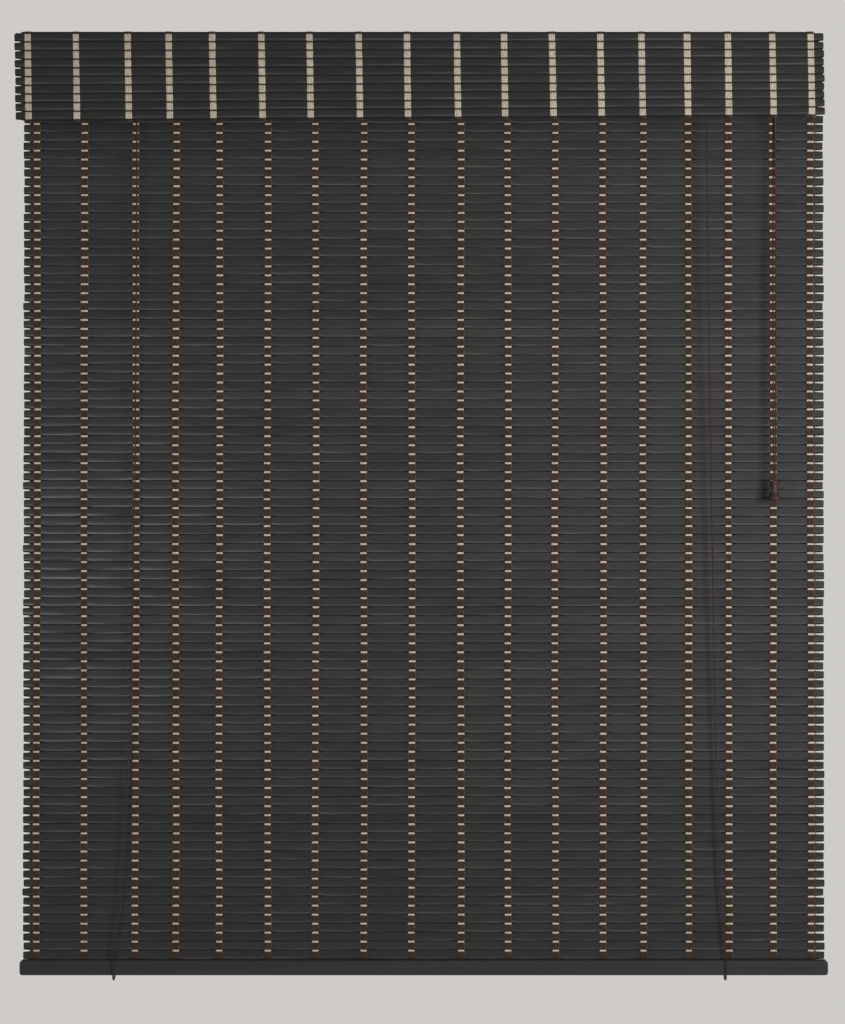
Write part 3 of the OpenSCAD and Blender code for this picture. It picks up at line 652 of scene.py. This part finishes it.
def bottom_batten(name, y0, y1, node):
    """Planed batten with rounded end corners and eased edges."""
    bm = bmesh.new()
    bmesh.ops.create_cube(bm, size=1.0)
    bmesh.ops.scale(bm, verts=bm.verts, vec=(RAIL_LENGTH, y1 - y0, RAIL_TOP - RAIL_BASE))
    ends = [e for e in bm.edges if abs((e.verts[0].co - e.verts[1].co).y) > 1]
    bmesh.ops.bevel(bm, geom=ends, offset=RAIL_CORNER, segments=5, profile=0.5, affect="EDGES", material=-1)
    rims = [e for e in bm.edges if abs((e.verts[0].co - e.verts[1].co).y) < 0.01]
    bmesh.ops.bevel(bm, geom=rims, offset=RAIL_EDGE, segments=2, profile=0.5, affect="EDGES", material=-1)
    bmesh.ops.translate(bm, verts=bm.verts, vec=(0, (y0 + y1) / 2, (RAIL_TOP + RAIL_BASE) / 2))
    bmesh.ops.scale(bm, verts=bm.verts, vec=(MM, MM, MM))
    piece = finish_piece(bm, name, RAIL_STAIN, smooth=False)
    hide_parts(node)
    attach(piece, "bottom_rail")


bottom_batten("front_batten", *FRONT_BATTEN, "bottom_batten_front")
bottom_batten("back_batten", *BACK_BATTEN, "bottom_batten_back")


# Cords

CORD_SIDES = 10


def smooth_route(route, step):
    """Points at about an even step on a smooth curve through the route."""
    p = [Vector(q) for q in route]
    p = [2 * p[0] - p[1]] + p + [2 * p[-1] - p[-2]]
    out = []
    for i in range(1, len(p) - 2):
        before, here, after = ((p[k + 1] - p[k]).length for k in (i - 1, i, i + 1))
        pieces = max(1, round(here / step))
        m0 = (p[i + 1] - p[i - 1]) * (here / max(1e-6, here + before))
        m1 = (p[i + 2] - p[i]) * (here / max(1e-6, after + here))
        for j in range(pieces):
            t = j / pieces
            out.append((2 * t ** 3 - 3 * t ** 2 + 1) * p[i] + (t ** 3 - 2 * t ** 2 + t) * m0
                       + (3 * t ** 2 - 2 * t ** 3) * p[i + 1] + (t ** 3 - t ** 2) * m1)
    return out + [p[-2]]


def braided_cord(name, route, step, side, node, lay):
    """Round cord along its route, with its two ends closed, and UVs in turns and in cord widths."""
    path = smooth_route(route, step)
    spots = np.array(path)
    along = np.gradient(spots, axis=0)
    along /= np.linalg.norm(along, axis=1)[:, None]
    side = np.array(side, float)
    u = side - along * (along @ side)[:, None]
    u /= np.linalg.norm(u, axis=1)[:, None]
    v = np.cross(along, u)
    length = float(np.linalg.norm(np.diff(spots, axis=0), axis=1).sum())

    def place(column, row):
        a = 2 * math.pi * column / CORD_SIDES
        return spots[row] + CORD_R * (np.cos(a)[:, None] * u[row] + np.sin(a)[:, None] * v[row])

    mesh = strip_mesh(CORD_SIDES, len(path) - 1, place, 1.0, length / (2 * CORD_R))
    bm = bmesh.new()
    bm.from_mesh(mesh)
    bpy.data.meshes.remove(mesh)
    close_shells(bm)
    bmesh.ops.scale(bm, verts=bm.verts, vec=(MM, MM, MM))
    piece = finish_piece(bm, name, BRAID)
    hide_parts(node)
    route_m = [tuple(q * MM) for q in path]
    return piece, dict(exit=route_m[0], length=length * MM, diameter=2 * CORD_R * MM, far_end="object",
                       stiffness="limp", lay=lay, path=route_m)


def quarter(x, y, first, second):
    """A quarter turn over a sheave, from the first to the second angle in degrees."""
    turns = [math.radians(first + (second - first) * i / 4) for i in range(5)]
    return [(x + WRAP_R * math.cos(a), y, AXLE_Z + WRAP_R * math.sin(a)) for a in turns]


def hang(start, end, shares):
    """Points at the given shares of the way from start to end, in x, y and z."""
    return [tuple(a + s * (b - a) for a, b, s in zip(start, end, share)) for share in shares]


BACK_SHARES = [(0, 0, 0), (0.02, 0.07, 0.0375), (0.12, 0.27, 0.275), (0.37, 0.54, 0.571), (0.78, 0.89, 0.868),
               (1, 1, 1)]
LEFT_SHARES = [(0, 0, 0), (0.108, 0.014, 0.026), (0.288, 0.035, 0.064), (0.432, 0.07, 0.119),
               (0.576, 0.14, 0.193), (0.719, 0.28, 0.293), (0.881, 0.53, 0.513), (0.971, 0.845, 0.782),
               (1, 0.993, 0.971), (1, 1, 1)]
RIGHT_SHARES = [(0, 0, 0), (0.097, 0.014, 0.026), (0.242, 0.035, 0.064), (0.375, 0.07, 0.119),
                (0.46, 0.14, 0.193), (0.56, 0.28, 0.293), (0.73, 0.53, 0.513), (0.93, 0.845, 0.782),
                (1, 0.993, 0.971), (1, 1, 1)]
PULL_SHARES = [(0, 0, 0), (0.1, 0.05, 0.06), (0.95, 0.3, 0.249), (1.35, 0.6, 0.564), (1.1, 0.85, 0.815),
               (1, 1, 1)]
JOIN = 0.1
SLING_FRONT, SLING_BACK, SLING_DROP = 7.5, 23.55, 6.0
CORD_LOW, CORD_HIGH = RAIL_TOP + JOIN, AXLE_Z - JOIN
PULL_X, APART = LOCK_X + WRAP_R, CORD_R + JOIN
LEFT_BACK = hang((LEFT_LOOP_X, LOOP_Y, LOOP_LOW), (LEFT_SLING_X, SLING_BACK, CORD_LOW), BACK_SHARES)
RIGHT_BACK = hang((RIGHT_LOOP_X, LOOP_Y, LOOP_LOW), (RIGHT_SLING_X, SLING_BACK, CORD_LOW), BACK_SHARES)
LEFT_FRONT = hang((LEFT_SLING_X, SLING_FRONT, CORD_LOW),
                  (LEFT_PULLEY_X - WRAP_R, LEFT_CORD_Y, CORD_HIGH), LEFT_SHARES)
RIGHT_FRONT = hang((RIGHT_SLING_X, SLING_FRONT, CORD_LOW),
                   (RIGHT_PULLEY_X - WRAP_R, RIGHT_CORD_Y, CORD_HIGH), RIGHT_SHARES)
LEFT_PULL = hang((PULL_X, LEFT_CORD_Y, CORD_HIGH), (BELL_X - APART, PAIR_Y, KNOT_Z), PULL_SHARES)
RIGHT_PULL = hang((PULL_X, RIGHT_CORD_Y, CORD_HIGH), (BELL_X + APART, PAIR_Y, KNOT_Z), PULL_SHARES)
SLING = ([(SLING_BACK, RAIL_TOP - JOIN)]
         + [((SLING_FRONT + SLING_BACK) / 2 + (SLING_BACK - SLING_FRONT) / 2 * math.cos(math.radians(a)),
             RAIL_BASE - SLING_DROP * math.sin(math.radians(a))) for a in range(0, 181, 30)]
         + [(SLING_FRONT, RAIL_TOP - JOIN)])
LEFT_HEAD = quarter(LEFT_PULLEY_X, LEFT_CORD_Y, 180, 90) + quarter(LOCK_X, LEFT_CORD_Y, 90, 0)
RIGHT_HEAD = quarter(RIGHT_PULLEY_X, RIGHT_CORD_Y, 180, 90) + quarter(LOCK_X, RIGHT_CORD_Y, 90, 0)

ALONG_X, ALONG_Y = (1, 0, 0), (0, 1, 0)
for hand, back, front, head, pull, sling_x in (
        ("left", LEFT_BACK, LEFT_FRONT, LEFT_HEAD, LEFT_PULL, LEFT_SLING_X),
        ("right", RIGHT_BACK, RIGHT_FRONT, RIGHT_HEAD, RIGHT_PULL, RIGHT_SLING_X)):
    piece, facts = braided_cord(f"{hand}_back_run", back, 30, ALONG_X, f"{hand}_cord_back", "hanging")
    shorten_with_lift(piece)
    sling = [(sling_x, y, z) for y, z in SLING]
    piece, facts = braided_cord(f"{hand}_sling", sling, 1.5, ALONG_X, f"{hand}_cord_bight", "hanging")
    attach(piece, "bottom_rail")
    piece, facts = braided_cord(f"{hand}_front_run", front, 30, ALONG_X, f"{hand}_cord_front", "hanging")
    shorten_with_lift(piece)
    piece, facts = braided_cord(f"{hand}_head_run", head, 20, ALONG_Y, f"{hand}_cord_head", "taut")
    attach(piece, "head")
    piece, facts = braided_cord(f"{hand}_pull_run", pull, 20, ALONG_X, f"{hand}_pull_cord", "hanging")
    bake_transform(piece)


# Bell on the pull

def turned_bell():
    """Knob, waist and flared foot, turned from one profile, with a scored line above the foot."""
    profile = [(2.4, 0.0), (3.4, 0.05), (4.4, 0.5), (4.85, 1.3), (4.9, 2.2), (4.75, 3.2), (4.3, 4.0), (3.98, 4.8),
               (3.9, 5.8), (3.92, 7.6), (4.0, 9.6), (4.15, 11.4), (4.45, 13.2), (4.95, 15.0), (5.65, 16.7),
               (6.3, 17.9), (6.36, 18.0), (6.3, 18.25), (6.65, 18.5), (6.95, 19.3), (7.0, 19.9), (6.9, 20.6),
               (6.55, 21.3), (6.0, 21.8), (5.4, 22.0), (4.9, 20.0), (2.4, 10.5)]
    bm = bmesh.new()
    verts = [bm.verts.new((r, 0, -drop)) for r, drop in profile]
    edges = [bm.edges.new((verts[i - 1], verts[i])) for i in range(len(verts))]
    bmesh.ops.spin(bm, geom=verts + edges, cent=(0, 0, 0), axis=(0, 0, 1), angle=2 * math.pi, steps=40,
                   use_merge=True)
    bmesh.ops.remove_doubles(bm, verts=bm.verts, dist=1e-4)
    bmesh.ops.recalc_face_normals(bm, faces=bm.faces)
    bmesh.ops.translate(bm, verts=bm.verts, vec=(BELL_X, PAIR_Y, BELL_TOP))
    bmesh.ops.scale(bm, verts=bm.verts, vec=(MM, MM, MM))
    piece = finish_piece(bm, "turned_bell", BELL_WOOD)
    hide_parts("pull_bell")
    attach(piece, "pull")


turned_bell()


# Finishes of the pieces that stay as built

def refinish(material, *nodes):
    for node in nodes:
        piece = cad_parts[node]
        piece.data.materials.clear()
        piece.data.materials.append(material)


refinish(RAIL_STAIN, "head_rail", "hem_slat")
refinish(STEEL, "mat_tacks", "bottom_rail_nails", "bracket_screws", "cord_anchor_screws",
         "left_pulley_bracket", "left_pulley_axle", "right_pulley_bracket", "right_pulley_axle",
         "cord_lock_housing", "cord_lock_axle", "cord_lock_pawl_pin")
refinish(BRASS, "left_pulley_sheave", "right_pulley_sheave", "cord_lock_sheave", "cord_lock_pawl")
refinish(BRAID, "left_cord_loop", "right_cord_loop", "pull_knot")


# Floor, light and camera

FLOOR_GLOW, FLOOR_Z, FLOOR_HALF = 0.34, -2.5, 5.5
PHOTO_WIDTH, PIXEL, CAMERA_AWAY = 845, 1.125, 2400.0
CAMERA_X, CAMERA_LEVEL, LOOK_UP = -0.0014, -0.531, 0.0072
SENSOR = 36.0


def seen_rays(tree):
    """1 on rays from the camera, straight or by way of a shiny or clear surface, and 0 on those that light."""
    path = add(tree, "ShaderNodeLightPath")
    seen = path.outputs["Is Camera Ray"]
    for kind in ("Is Glossy Ray", "Is Transmission Ray"):
        either = add(tree, "ShaderNodeMath", operation="MAXIMUM")
        tree.links.new(seen, either.inputs[0])
        tree.links.new(path.outputs[kind], either.inputs[1])
        seen = either.outputs[0]
    return seen


def floor():
    bm = bmesh.new()
    bmesh.ops.create_grid(bm, x_segments=1, y_segments=1, size=FLOOR_HALF)
    bmesh.ops.translate(bm, verts=bm.verts, vec=(0, 0, FLOOR_Z))
    mesh = bpy.data.meshes.new("floor")
    bm.to_mesh(mesh)
    bm.free()
    material, tree, shader = new_material("pale_floor")
    shader.inputs["Base Color"].default_value = (0.86, 0.85, 0.82, 1)
    shader.inputs["Roughness"].default_value = 0.9
    shader.inputs["Emission Color"].default_value = (1.0, 0.97, 0.92, 1)
    glow = add(tree, "ShaderNodeMath", operation="MULTIPLY")
    glow.inputs[1].default_value = FLOOR_GLOW
    tree.links.new(seen_rays(tree), glow.inputs[0])
    tree.links.new(glow.outputs[0], shader.inputs["Emission Strength"])
    mesh.materials.append(material)
    obj = bpy.data.objects.new("floor", mesh)
    scene.collection.objects.link(obj)


def area_light(name, place, target, size, watts):
    light = bpy.data.lights.new(name, "AREA")
    light.shape = "DISK"
    light.size = size
    light.energy = watts
    obj = bpy.data.objects.new(name, light)
    obj.location = place
    obj.rotation_euler = (Vector(target) - Vector(place)).to_track_quat("-Z", "Y").to_euler()
    scene.collection.objects.link(obj)


def sky():
    world = bpy.data.worlds.new("studio")
    scene.world = world
    world.use_nodes = True
    tree = world.node_tree
    tree.nodes.clear()
    seen = add(tree, "ShaderNodeBackground")
    seen.inputs["Color"].default_value = (0.62, 0.60, 0.57, 1)
    light = add(tree, "ShaderNodeBackground")
    light.inputs["Color"].default_value = (1, 1, 1, 1)
    light.inputs["Strength"].default_value = 0.29
    mix = add(tree, "ShaderNodeMixShader")
    tree.links.new(seen_rays(tree), mix.inputs["Fac"])
    tree.links.new(light.outputs[0], mix.inputs[1])
    tree.links.new(seen.outputs[0], mix.inputs[2])
    out = add(tree, "ShaderNodeOutputWorld")
    tree.links.new(mix.outputs[0], out.inputs["Surface"])


def camera():
    """Square on to the mat, at a scale of one pixel to PIXEL millimetres, and turned up a little."""
    data = bpy.data.cameras.new("camera")
    data.sensor_fit = "HORIZONTAL"
    data.sensor_width = SENSOR
    data.lens = SENSOR * CAMERA_AWAY / (PHOTO_WIDTH * PIXEL)
    data.clip_end = 50
    obj = bpy.data.objects.new("camera", data)
    obj.location = (CAMERA_X, (MAT_Y - CAMERA_AWAY) * MM, CAMERA_LEVEL - CAMERA_AWAY * MM * LOOK_UP)
    obj.rotation_euler = (math.pi / 2 + LOOK_UP, 0, 0)
    scene.collection.objects.link(obj)
    scene.camera = obj


floor()
area_light("key", (0.85, -1.2, -0.46), (0.08, 0, -0.5), 0.6, 18.5)
area_light("fill", (-1.0, -2.4, -0.35), (0, 0, -0.35), 1.6, 4)
area_light("side", (-0.68, -1.1, -0.55), (-0.25, 0, -0.55), 0.4, 4)
area_light("behind", (0.3, 2.4, 0.6), (0, 0, -0.5), 1.6, 30)
sky()
camera()
scene.view_settings.view_transform = "Standard"
